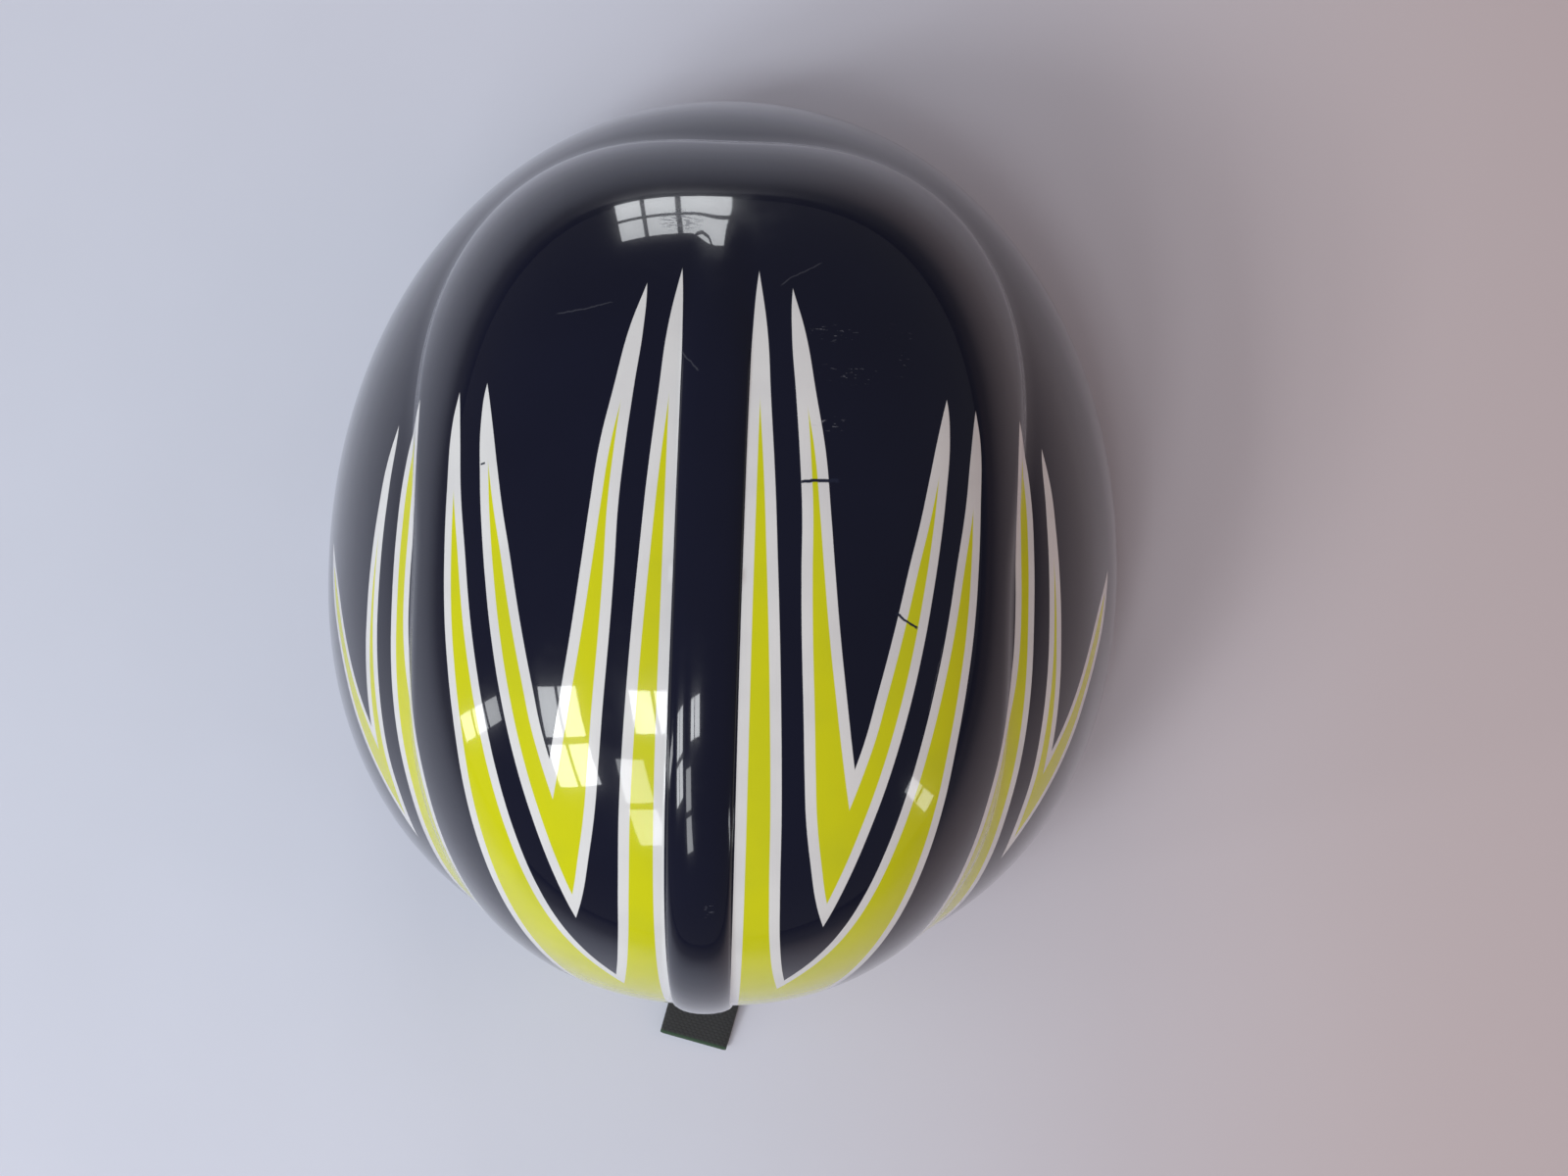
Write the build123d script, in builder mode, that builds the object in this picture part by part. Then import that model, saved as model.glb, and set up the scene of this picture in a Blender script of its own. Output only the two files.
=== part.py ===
"""Hard-shell helmet with foam, pads, chin strap, side-release buckle and rear tab.

Millimetres, +Z up. The brow faces -Y and the wearer's left is +X. The helmet stands on its rim at
Z = 0, with the middle of its whole box on the Z axis.
"""
import os
from math import cos, radians, sin, sqrt, tan

from build123d import *

# --- driving dimensions ------------------------------------------------------------------------
# Crown panel: the tall, narrow dome that carries the spine.
crown_half_width = 87.0
crown_front_length = 115.5   # from the domes' middle to the brow
crown_rear_length = 112.0    # and to the nape
crown_height = 150.0
crown_waist = 40.0           # height of its widest level
crown_power = 2.6            # 2 is a plain ellipse, more is squarer at the shoulder
crown_brow_power = 2.6       # the same, seen from above, in front of the middle
crown_nape_power = 2.27      # and behind it

# Side band: the lower, wider dome that shows in front and at both sides.
band_half_width = 109.0
band_front_length = 131.5
band_rear_length = 110.5
band_height = 147.0
band_waist = 30.0
band_brow_power = 2.07
band_nape_power = 2.19
middle_back = 8.0            # the domes' middle lies this far behind the head's middle
valley = 3.0                 # the two domes blend where they are closer than this

# Spine: a rounded ridge along the crown, which rises out of it behind the brow.
spine_width = 15.0
spine_rise = 2.6
spine_round = 1.8

shell_wall = 3.0
rim_flat_front = 75.0        # the rim is level between these two lines
rim_flat_rear = 72.0
rim_lift_front = 12.0        # degrees
rim_lift_rear = 10.0         # degrees
rim_bend = 60.0
trim_wall = 1.6
trim_height = 5.0

# Foam liner and head space.
bond_gap = 0.25
head_half_width = 80.0
head_half_length = 98.5
head_height = 119.0
head_waist = 30.0
liner_edge = 6.0             # foam ends this far above the shell's rim
ear_front = 62.0
ear_rear = 34.0
ear_top = 31.0
ear_round = 12.0

# Comfort pads on hook-and-loop dots.
hook_thick = 1.4
hook_radius = 9.0
hook_gap = 0.15
hook_spread = 31.0           # dots stand this far off the middle of their pad
pad_thick = 5.5
crown_pad_size = (58.0, 112.0)
crown_pad_round = 26.0
brow_pad_size = (104.0, 30.0)
brow_pad_z = 54.0
side_pad_size = (96.0, 36.0)
side_pad_z = 56.0
pad_round = 12.0

# Webbing, rivets and eyelets of the chin strap.
web_width = 18.0
web_thick = 1.5
web_gap = 0.2                # between webbing and the bars and rails that guide it
rivet_stand = 4.0            # shell's inside to the strap's middle plane
strap_z = 15.0
strap_end = 9.0              # webbing behind the rivet
strap_drop = 13.0            # webbing in front of the rivet, before its bend
chin_half = 34.0
chin_reach = 84.0            # rivet line to chin run
bend_radius = 14.0
chin_radius = 20.0
rivet_radius = 2.0
rivet_head = 5.5
rivet_head_thick = 1.4
rivet_clinch = 4.5
rivet_clinch_thick = 1.0
eyelet_fit = 0.05
eyelet_wall = 0.8
eyelet_flange = 1.6
eyelet_lip = 0.5
spacer_radius = 5.0
play = 0.3                   # running gap between flat faces
seat = 0.1                   # gap between pieces that touch on the real helmet

# Side-release buckle, along the left leg of the strap.
buckle_width = 25.0
buckle_thick = 9.0
buckle_round = 1.5
socket_start = 18.0          # from the strap's bend
socket_length = 24.0
bar_thick = 2.4
bar_length = 3.0
bar_window = 3.4
channel_width = 20.4
channel_thick = 5.0
channel_wall = 1.2           # between the webbing's window and the channel
prong_width = 4.0
prong_thick = 4.4
prong_length = 15.0
prong_side = 7.6             # prong's middle line to the buckle's middle line
barb_out = 1.6
barb_length = 5.0
barb_ramp = 2.0
window_margin = 1.0
tongue_width = 6.0
tongue_length = 12.0
plug_length = 11.0
plug_thick = 8.0
plug_front_wall = 1.8
plug_bar = 2.2
plug_gap = 0.4

# Webbing tail, its keeper and the chin pad.
keeper_start = 76.0
keeper_length = 6.0
keeper_wall = 1.4
tail_end = 86.0
stitched_length = 10.0
chin_pad_length = 40.0
chin_pad_width = 29.0
chin_pad_thick = 8.0
chin_pad_round = 3.0

# Rear tab: flat elastic webbing pinned inside the shell and led out under the rim.
tab_width = 20.0
tab_thick = 1.8
tab_length = 24.0
tab_droop = 10.0             # degrees below level
tab_z = 6.0
tab_root_top = 23.0
tab_bend = 2.5
tab_pin_z = 17.5
tab_pin_radius = 1.5
tab_pin_head = 4.0
tab_pin_head_thick = 1.2
tab_pin_length = 9.0         # in the foam
tab_plate_size = (14.0, 9.0)
tab_plate_thick = 1.0
tab_pocket_side = 2.0        # foam pocket stands off the tab by this much

# --- how finely the shell's outside is laid out ----------------------------------------------
outline_points = 36
steps_below_waist = 4
shares_above_waist = (0.0, 0.1, 0.2, 0.3, 0.4, 0.5, 0.6, 0.7, 0.79, 0.87, 0.93, 0.97, 0.995)
spine_turns = (-14, -6, 0, 8, 20, 34, 50, 68, 90)

# --- sizes worked out from them ----------------------------------------------------------------
foot = -12.0                 # domes and cutting tools run down past the rim
reach = 160.0                # and outward past the shell
rim_z = trim_wall
web_layer = bar_thick / 2 + web_gap + web_thick / 2
web_slot = web_width + 2 * play
tab_fold = middle_back + crown_rear_length + spine_rise + tab_thick / 2 + play
tab_reach = tab_fold + tab_length * cos(radians(tab_droop)) + tab_thick / 2 * sin(radians(tab_droop))
brow_reach = band_front_length - middle_back + trim_wall
shell_y = (brow_reach - tab_reach) / 2
strap_x = band_half_width - shell_wall - rivet_stand
strap_y = shell_y + middle_back


def superellipse(share, power):
    """How far out a superellipse is, as a share of its half width, at a share of its rise."""
    return max(0.0, 1 - abs(share) ** power) ** (1 / power)


def plan_radius(turn, half_width, half_length, power):
    """Distance from the domes' middle to a rounded outline at one angle."""
    across = abs(cos(radians(turn))) / half_width
    along = abs(sin(radians(turn))) / half_length
    return (across ** power + along ** power) ** (-1 / power)


def shell_radius(turn, z, grow):
    """Distance from the domes' middle to the shell's outside at one angle and height."""
    if sin(radians(turn)) < 0:
        crown_plan = crown_front_length + grow, crown_brow_power
        band_plan = band_front_length + grow, band_brow_power
    else:
        crown_plan = crown_rear_length + grow, crown_nape_power
        band_plan = band_rear_length + grow, band_nape_power
    crown_share = (z - crown_waist) / (crown_height + grow - crown_waist)
    crown = superellipse(crown_share, crown_power) * plan_radius(
        turn, crown_half_width + grow, *crown_plan)
    band_share = max(0.0, z - band_waist) / (band_height + grow - band_waist)
    band = superellipse(min(band_share, 1.0), 2) * plan_radius(
        turn, band_half_width + grow, *band_plan)
    blend = max(0.0, valley - abs(crown - band)) ** 2 / (4 * valley)
    return max(crown, band) + blend


def shell_dome(grow):
    """The shell's outside without its spine, grown outward, as a solid down to its foot."""
    top = crown_height + grow
    step = (crown_waist - foot) / steps_below_waist
    heights = [foot + step * count for count in range(steps_below_waist)]
    heights += [crown_waist + (top - crown_waist) * share for share in shares_above_waist]
    turns = [360 * count / outline_points for count in range(outline_points)]
    with BuildPart() as solid:
        for z in heights:
            with BuildSketch(Plane.XY.offset(z)):
                with BuildLine():
                    ring = []
                    for turn in turns:
                        out = shell_radius(turn, z, grow)
                        y = shell_y + middle_back + out * sin(radians(turn))
                        ring.append((out * cos(radians(turn)), y))
                    Spline(ring, periodic=True)
                make_face()
        loft()
    return solid.part


def head_dome(grow):
    """Space for the head, grown outward, as a solid down to its foot."""
    rise = head_height + grow - head_waist
    step = (head_waist - foot) / steps_below_waist
    levels = [(foot + step * count, 1.0) for count in range(steps_below_waist)]
    levels += [(head_waist + rise * share, superellipse(share, 2)) for share in shares_above_waist]
    with BuildPart() as solid:
        for z, out in levels:
            with BuildSketch(Plane((0, shell_y, z))):
                Ellipse((head_half_width + grow) * out, (head_half_length + grow) * out)
        loft()
    return solid.part


def under_rim(raised):
    """Everything below the rim line, with the line raised by a distance."""
    level = rim_z + raised
    front_z = level + (reach - rim_flat_front) * tan(radians(rim_lift_front))
    rear_z = level + (reach - rim_flat_rear) * tan(radians(rim_lift_rear))
    with BuildPart() as below:
        with BuildSketch(Plane.YZ):
            with BuildLine():
                rim = FilletPolyline((shell_y - reach, front_z),
                                     (shell_y - rim_flat_front, level),
                                     (shell_y + rim_flat_rear, level),
                                     (shell_y + reach, rear_z), radius=rim_bend)
                Polyline(rim @ 1, (shell_y + reach, 3 * foot), (shell_y - reach, 3 * foot), rim @ 0)
            make_face()
        extrude(amount=reach, both=True)
    return below.part


# --- shell and trim ------------------------------------------------------------------------------
with BuildPart() as spine:
    with BuildSketch(Plane.YZ):
        with BuildLine():
            arc = []
            middle = shell_y + middle_back
            rise = crown_height + spine_rise - crown_waist
            for turn in spine_turns:
                share = sin(radians(abs(turn))) ** (2 / crown_power)
                up = share if turn > 0 else -share
                arc.append((superellipse(share, crown_power), crown_waist + rise * up))
            front = [(middle + spine_rise - crown_front_length * out, z) for out, z in arc]
            rear = [(middle + spine_rise + crown_rear_length * out, z) for out, z in arc]
            profile = Spline(front + rear[-2::-1])
            Polyline(profile @ 1, (rear[0][0], foot), (front[0][0], foot), profile @ 0)
        make_face()
    extrude(amount=spine_width / 2, both=True)
    fillet(spine.edges().filter_by(GeomType.BSPLINE), radius=spine_round)

with BuildPart() as outer_shell:
    add(shell_dome(0))
    add(spine.part)
    add(shell_dome(-shell_wall), mode=Mode.SUBTRACT)
    add(under_rim(0), mode=Mode.SUBTRACT)
    with BuildSketch(Plane.YZ):
        with Locations((strap_y, strap_z)):
            Circle(rivet_radius + eyelet_fit)
    extrude(amount=reach, both=True, mode=Mode.SUBTRACT)

with BuildPart() as rim_trim:
    add(shell_dome(trim_wall))
    add(shell_dome(-shell_wall - trim_wall), mode=Mode.SUBTRACT)
    add(under_rim(trim_height), mode=Mode.INTERSECT)
    add(under_rim(-trim_wall), mode=Mode.SUBTRACT)
    add(outer_shell.part, mode=Mode.SUBTRACT)

# --- foam liner ----------------------------------------------------------------------------------
# The tab's root hangs just inside the trim's inner leg, in a pocket in the foam.
root_tuck = superellipse((crown_waist - tab_z) / (crown_height - crown_waist), crown_power)
root_y = (middle_back + (crown_rear_length - shell_wall - trim_wall) * root_tuck
          - play - tab_thick / 2)
pocket_front = root_y - tab_thick / 2 - seat - tab_plate_thick - seat
pocket_width = tab_width + 2 * tab_pocket_side

with BuildPart() as eps_liner:
    add(shell_dome(-shell_wall - bond_gap))
    add(under_rim(liner_edge), mode=Mode.SUBTRACT)
    add(head_dome(0), mode=Mode.SUBTRACT)
    with BuildSketch(Plane.XZ.offset(-shell_y - pocket_front)):
        Rectangle(pocket_width, 2 * (tab_root_top + tab_pocket_side))
    extrude(amount=-reach, mode=Mode.SUBTRACT)
    with BuildSketch(Plane.YZ):
        with Locations((strap_y + (ear_rear - ear_front) / 2, 0)):
            RectangleRounded(ear_rear + ear_front, 2 * ear_top, ear_round)
    extrude(amount=reach, both=True, mode=Mode.SUBTRACT)
    with BuildSketch(Plane.XZ.offset(-shell_y - pocket_front)):
        with Locations((0, tab_pin_z)):
            Circle(tab_pin_radius + seat)
    extrude(amount=tab_pin_length + seat, mode=Mode.SUBTRACT)

# --- comfort pads --------------------------------------------------------------------------------
hook_outside = head_dome(-hook_gap)
hook_inside = head_dome(-hook_gap - hook_thick)
pad_outside = head_dome(-2 * hook_gap - hook_thick)
pad_inside = head_dome(-2 * hook_gap - hook_thick - pad_thick)


def pad(plane, size, corner, depth):
    """A pad cut from the pad layer by a rounded rectangle pushed along its plane's normal."""
    with BuildPart() as piece:
        with BuildSketch(plane):
            RectangleRounded(*size, corner)
        extrude(amount=depth)
        add(pad_outside, mode=Mode.INTERSECT)
        add(pad_inside, mode=Mode.SUBTRACT)
    return piece.part


front_plane = Plane((0, shell_y, brow_pad_z), x_dir=(1, 0, 0), z_dir=(0, -1, 0))
rear_plane = Plane((0, shell_y, brow_pad_z), x_dir=(1, 0, 0), z_dir=(0, 1, 0))
left_plane = Plane((0, shell_y, side_pad_z), x_dir=(0, 1, 0), z_dir=(1, 0, 0))
right_plane = Plane((0, shell_y, side_pad_z), x_dir=(0, 1, 0), z_dir=(-1, 0, 0))
crown_plane = Plane((0, shell_y, side_pad_z), x_dir=(1, 0, 0), z_dir=(0, 0, 1))

crown_pad = pad(crown_plane, crown_pad_size, crown_pad_round, reach)
brow_pad = pad(front_plane, brow_pad_size, pad_round, reach)
rear_pad = pad(rear_plane, brow_pad_size, pad_round, reach)
side_pad_left = pad(left_plane, side_pad_size, pad_round, reach)
side_pad_right = pad(right_plane, side_pad_size, pad_round, reach)

with BuildPart() as hook_dots:
    for plane in (front_plane, rear_plane, left_plane, right_plane):
        with BuildSketch(plane):
            with Locations((hook_spread, 0), (-hook_spread, 0)):
                Circle(hook_radius)
        extrude(amount=reach)
    with BuildSketch(crown_plane):
        with Locations((0, hook_spread), (0, -hook_spread)):
            Circle(hook_radius)
    extrude(amount=reach)
    add(hook_outside, mode=Mode.INTERSECT)
    add(hook_inside, mode=Mode.SUBTRACT)

# --- chin strap ----------------------------------------------------------------------------------
# Seen from above, the strap is a U that lies flat inside the rim with its webbing on edge.
bend = Vector(strap_x, strap_y - strap_drop)
corner = Vector(chin_half, strap_y - chin_reach)
leg_way = (corner - bend).normalized()
leg_out = Vector(-leg_way.Y, leg_way.X)


def on_leg(run, out):
    """Point of the left leg: a run from its bend, and out from the webbing's middle plane."""
    spot = bend + leg_way * run + leg_out * out
    return (spot.X, spot.Y)


plug_start = socket_start + socket_length + plug_gap
plug_turn = plug_start + plug_front_wall + bar_window
socket_turn = socket_start + bar_length
mouth = socket_start + socket_length
eyelet_radius = rivet_radius + eyelet_fit + eyelet_wall

with BuildPart() as chin_strap_left:
    with BuildSketch(Plane.XY.offset(strap_z)):
        with BuildLine() as left_run:
            FilletPolyline((strap_x, strap_y + strap_end), (bend.X, bend.Y),
                           on_leg(socket_turn, 0), radius=bend_radius)
            ThreePointArc(on_leg(socket_turn, 0), on_leg(socket_turn + web_layer, -web_layer),
                          on_leg(socket_turn, -2 * web_layer))
            Line(on_leg(socket_turn, -2 * web_layer),
                 on_leg(socket_start - stitched_length, -2 * web_layer))
        trace(left_run.line, line_width=web_thick)
    extrude(amount=web_width / 2, both=True)
    with BuildSketch(Plane.YZ):
        with Locations((strap_y, strap_z)):
            Circle(eyelet_radius + seat)
    extrude(amount=reach, mode=Mode.SUBTRACT)

with BuildPart() as chin_strap_right:
    with BuildSketch(Plane.XY.offset(strap_z)):
        with BuildLine() as right_run:
            FilletPolyline((-strap_x, strap_y + strap_end), (-bend.X, bend.Y),
                           (-corner.X, corner.Y), (corner.X, corner.Y), on_leg(plug_turn, 0),
                           radius=(bend_radius, chin_radius, chin_radius))
            ThreePointArc(on_leg(plug_turn, 0), on_leg(plug_turn - web_layer, -web_layer),
                          on_leg(plug_turn, -2 * web_layer))
            Line(on_leg(plug_turn, -2 * web_layer), on_leg(tail_end, -2 * web_layer))
        trace(right_run.line, line_width=web_thick)
    extrude(amount=web_width / 2, both=True)
    with BuildSketch(Plane.YZ):
        with Locations((strap_y, strap_z)):
            Circle(eyelet_radius + seat)
    extrude(amount=-reach, mode=Mode.SUBTRACT)

eyelet_half = web_thick / 2 + eyelet_lip
shell_inside = band_half_width - shell_wall
clinch_outside = strap_x - eyelet_half - play


def rounds(x, length, radius, hole=0.0):
    """A round of the rivet stack on both sides of the helmet, from |X| = x outward."""
    with BuildPart() as pair:
        for side in (1, -1):
            with BuildSketch(Plane((side * x, strap_y, strap_z), x_dir=(0, 1, 0), z_dir=(side, 0, 0))):
                Circle(radius)
                if hole:
                    Circle(hole, mode=Mode.SUBTRACT)
            extrude(amount=length)
    return pair.part


bore = rivet_radius + eyelet_fit
spacer_start = strap_x + eyelet_half + play

with BuildPart() as strap_eyelets:
    add(rounds(strap_x - eyelet_half, 2 * eyelet_half, eyelet_radius, bore))
    add(rounds(strap_x - eyelet_half, eyelet_lip, eyelet_radius + eyelet_flange, bore))
    add(rounds(strap_x + web_thick / 2, eyelet_lip, eyelet_radius + eyelet_flange, bore))

with BuildPart() as rivet_spacers:
    add(rounds(spacer_start, shell_inside - seat - spacer_start, spacer_radius, bore))

with BuildPart() as strap_rivets:
    add(rounds(clinch_outside - rivet_clinch_thick, rivet_clinch_thick, rivet_clinch))
    add(rounds(clinch_outside, band_half_width + seat - clinch_outside, rivet_radius))
    add(rounds(band_half_width + seat, rivet_head_thick, rivet_head))
    round_edges = strap_rivets.edges().filter_by(GeomType.CIRCLE).group_by(Axis.X)
    fillet(round_edges[0] + round_edges[-1], radius=rivet_head_thick * 0.8)

# --- buckle --------------------------------------------------------------------------------------
# The buckle's own plane: x along the leg from its bend, y up, its middle between the two layers.
buckle_origin = bend - leg_out * web_layer
buckle_plane = Plane((buckle_origin.X, buckle_origin.Y, strap_z),
                     x_dir=(leg_way.X, leg_way.Y, 0), z_dir=(-leg_out.X, -leg_out.Y, 0))


def block(start, end, height, thick):
    """A rectangular length of the buckle, centred on its plane."""
    with BuildPart() as piece:
        with BuildSketch(buckle_plane):
            with Locations(((start + end) / 2, 0)):
                Rectangle(end - start, height)
        extrude(amount=thick / 2, both=True)
    return piece.part


channel_end = socket_turn + bar_window + channel_wall
prong_root = plug_start - seat - prong_width / 2
prong_tip = plug_start - prong_length

bar_width = buckle_width - 2 * buckle_round
plug_end = plug_start + plug_length

with BuildPart() as buckle_socket:
    add(block(socket_start, mouth, buckle_width, buckle_thick))
    fillet(buckle_socket.edges(), radius=buckle_round)
    add(block(socket_start - seat, socket_turn + bar_window, web_slot, 2 * buckle_thick),
        mode=Mode.SUBTRACT)
    add(block(socket_start, socket_turn, bar_width, bar_thick))
    add(block(channel_end, mouth + seat, channel_width, channel_thick), mode=Mode.SUBTRACT)
    add(block(prong_tip - window_margin, prong_tip + barb_length + window_margin,
              2 * buckle_width, channel_thick), mode=Mode.SUBTRACT)

with BuildPart() as buckle_plug:
    add(block(plug_start, plug_end, buckle_width, plug_thick))
    fillet(buckle_plug.edges(), radius=buckle_round)
    add(block(plug_start + plug_front_wall, plug_end + seat, web_slot, 2 * plug_thick),
        mode=Mode.SUBTRACT)
    add(block(plug_turn, plug_turn + plug_bar, bar_width, bar_thick))
    add(block(plug_end - plug_bar, plug_end - seat, bar_width, bar_thick))
    add(block(plug_start - tongue_length, plug_start + seat, tongue_width, prong_thick))


def prong(side):
    """One springy prong of the plug, above (1) or below (-1) the buckle's middle line."""
    inner = prong_side - prong_width / 2
    outer = prong_side + prong_width / 2
    outline = [(prong_root, inner), (prong_tip + barb_out / 2, inner),
               (prong_tip, inner + barb_out / 2), (prong_tip, outer - barb_out / 2),
               (prong_tip + barb_ramp, outer + barb_out),
               (prong_tip + barb_length - barb_out / 2, outer + barb_out),
               (prong_tip + barb_length, outer), (prong_root, outer)]
    with BuildPart() as piece:
        with BuildSketch(buckle_plane):
            with BuildLine():
                Polyline([(run, side * up) for run, up in outline], close=True)
            make_face()
            with Locations((prong_root, side * prong_side)):
                Circle(prong_width / 2)
        extrude(amount=prong_thick / 2, both=True)
    return piece.part


release_prong_upper = prong(1)
release_prong_lower = prong(-1)

# --- tail keeper and chin pad --------------------------------------------------------------------
stack_thick = 2 * web_layer + web_thick

keeper_end = keeper_start + keeper_length

with BuildPart() as tail_keeper:
    add(block(keeper_start, keeper_end, web_slot + 2 * keeper_wall,
              stack_thick + 2 * play + 2 * keeper_wall))
    leg_axis = Axis(buckle_plane.origin, buckle_plane.x_dir)
    fillet(tail_keeper.edges().filter_by(leg_axis), radius=keeper_wall)
    add(block(keeper_start - seat, keeper_end + seat, web_slot, stack_thick + 2 * play),
        mode=Mode.SUBTRACT)

with BuildPart() as chin_pad:
    with BuildSketch(Plane.YZ):
        with Locations((strap_y - chin_reach, strap_z)):
            RectangleRounded(chin_pad_thick, chin_pad_width, chin_pad_round)
            Rectangle(web_thick + 2 * play, web_slot, mode=Mode.SUBTRACT)
    extrude(amount=chin_pad_length / 2, both=True)

# --- rear tab ------------------------------------------------------------------------------------
fold_y = shell_y + tab_fold
hang_y = shell_y + root_y

with BuildPart() as rear_tab_root:
    with BuildSketch(Plane.YZ):
        with BuildLine() as root_run:
            FilletPolyline((hang_y, tab_root_top), (hang_y, tab_z),
                           (fold_y - tab_thick / 2 - seat, tab_z), radius=tab_bend)
        trace(root_run.line, line_width=tab_thick)
    extrude(amount=tab_width / 2, both=True)
    with BuildSketch(Plane.XZ):
        with Locations((0, tab_pin_z)):
            Circle(tab_pin_radius + seat)
    extrude(amount=-reach, mode=Mode.SUBTRACT)

with BuildPart() as rear_tab:
    with BuildSketch(Plane.YZ):
        with Locations((fold_y, tab_z)):
            Circle(tab_thick / 2)
        with BuildLine() as tab_run:
            PolarLine((fold_y, tab_z), tab_length, -tab_droop)
        trace(tab_run.line, line_width=tab_thick)
    extrude(amount=tab_width / 2, both=True)

plate_y = hang_y - tab_thick / 2 - seat

with BuildPart() as tab_plate:
    with BuildSketch(Plane.XZ.offset(-plate_y)):
        with Locations((0, tab_pin_z)):
            RectangleRounded(*tab_plate_size, tab_pin_radius)
            Circle(tab_pin_radius + seat, mode=Mode.SUBTRACT)
    extrude(amount=tab_plate_thick)

with BuildPart() as tab_pin:
    with BuildSketch(Plane.XZ.offset(-hang_y - tab_thick / 2 - seat)):
        with Locations((0, tab_pin_z)):
            Circle(tab_pin_head)
    extrude(amount=-tab_pin_head_thick)
    with BuildSketch(Plane.XZ.offset(-hang_y - tab_thick / 2 - seat)):
        with Locations((0, tab_pin_z)):
            Circle(tab_pin_radius)
    extrude(amount=hang_y + tab_thick / 2 + seat - shell_y - pocket_front + tab_pin_length)

# --- one file per piece --------------------------------------------------------------------------
pieces = {
    "outer_shell": outer_shell.part, "rim_trim": rim_trim.part, "eps_liner": eps_liner.part,
    "crown_pad": crown_pad, "brow_pad": brow_pad, "rear_pad": rear_pad,
    "side_pad_left": side_pad_left, "side_pad_right": side_pad_right,
    "hook_dots": hook_dots.part, "strap_rivets": strap_rivets.part,
    "rivet_spacers": rivet_spacers.part, "strap_eyelets": strap_eyelets.part,
    "chin_strap_left": chin_strap_left.part, "chin_strap_right": chin_strap_right.part,
    "buckle_socket": buckle_socket.part, "buckle_plug": buckle_plug.part,
    "release_prong_upper": release_prong_upper, "release_prong_lower": release_prong_lower,
    "tail_keeper": tail_keeper.part, "chin_pad": chin_pad.part, "rear_tab": rear_tab.part,
    "rear_tab_root": rear_tab_root.part, "tab_plate": tab_plate.part, "tab_pin": tab_pin.part,
}
os.makedirs("parts", exist_ok=True)
for name, piece in pieces.items():
    piece.label = name
    export_step(piece, f"parts/{name}.step")
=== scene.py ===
"""Looks for the hard-shell helmet: painted shell, trim, foam, pads, strap, buckle and rear tab.

Sizes are in millimetres and are turned to metres as each mesh is made. The brow faces -Y.
"""

from math import cos, hypot, pi, radians, sin, tan

import bmesh
import bpy
import numpy as np
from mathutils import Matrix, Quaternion, Vector


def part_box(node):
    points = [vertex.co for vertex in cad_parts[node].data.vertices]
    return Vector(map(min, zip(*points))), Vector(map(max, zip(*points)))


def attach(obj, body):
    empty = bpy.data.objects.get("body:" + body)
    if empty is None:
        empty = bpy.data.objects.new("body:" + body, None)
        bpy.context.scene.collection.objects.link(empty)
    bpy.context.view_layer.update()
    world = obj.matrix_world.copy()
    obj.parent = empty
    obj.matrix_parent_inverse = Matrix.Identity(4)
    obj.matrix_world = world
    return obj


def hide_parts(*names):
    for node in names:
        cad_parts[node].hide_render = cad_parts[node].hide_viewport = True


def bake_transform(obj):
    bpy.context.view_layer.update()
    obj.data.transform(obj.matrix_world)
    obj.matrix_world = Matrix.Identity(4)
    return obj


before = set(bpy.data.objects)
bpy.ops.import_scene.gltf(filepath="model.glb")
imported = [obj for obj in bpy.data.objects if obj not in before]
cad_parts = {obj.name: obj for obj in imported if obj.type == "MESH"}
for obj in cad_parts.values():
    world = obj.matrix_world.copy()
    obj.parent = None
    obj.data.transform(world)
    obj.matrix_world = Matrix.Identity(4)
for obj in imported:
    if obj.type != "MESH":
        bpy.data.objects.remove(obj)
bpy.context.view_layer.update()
mm = 0.001

# --- shell shape -----------------------------------------------------------------------------
crown_half_width, crown_front, crown_rear, crown_height = 87.0, 115.5, 112.0, 150.0
crown_waist, crown_power, crown_brow_power, crown_nape_power = 40.0, 2.6, 2.6, 2.27
band_half_width, band_front, band_rear, band_height = 109.0, 131.5, 110.5, 147.0
band_waist, band_brow_power, band_nape_power = 30.0, 2.07, 2.19
middle_back = 8.0
valley_blend = 1.6
crown_lip, lip_run = 1.1, 2.4
shell_wall, trim_wall, trim_height = 3.0, 1.6, 5.0
rim_z, rim_flat_front, rim_flat_rear = 1.6, 75.0, 72.0
rim_lift_front, rim_lift_rear, rim_bend = 12.0, 10.0, 60.0
spine_half, spine_rise = 7.4, 2.3
spine_start, spine_fade = -76.0, 42.0
core_z = 45.0
top_lift, lowest_lift, ray_length = 1.45, -0.6, 260.0
shell_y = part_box("rim_trim")[0].y / mm + band_front + trim_wall - middle_back
crown_y = strap_y = shell_y + middle_back


def superellipse(share, power):
    return np.maximum(0.0, 1 - np.abs(share) ** power) ** (1 / power)


def plan_radius(turn, half_width, front, rear, brow_power, nape_power):
    """Distance from the domes' middle to a rounded outline."""
    brow = np.sin(turn) < 0
    length, power = np.where(brow, front, rear), np.where(brow, brow_power, nape_power)
    across, along = np.abs(np.cos(turn)) / half_width, np.abs(np.sin(turn)) / length
    return (across ** power + along ** power) ** (-1 / power)


def two_domes(turn, z, grow):
    """Reach of the crown dome and of the side band from their middle, at an angle and height."""
    out = superellipse((z - crown_waist) / (crown_height + grow - crown_waist), crown_power)
    crown = out * plan_radius(turn, crown_half_width + grow, crown_front + grow,
                              crown_rear + grow, crown_brow_power, crown_nape_power)
    share = np.maximum(0.0, z - band_waist) / (band_height + grow - band_waist)
    out = superellipse(np.minimum(share, 1.0), 2)
    band = out * plan_radius(turn, band_half_width + grow, band_front + grow,
                             band_rear + grow, band_brow_power, band_nape_power)
    return crown, band


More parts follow.
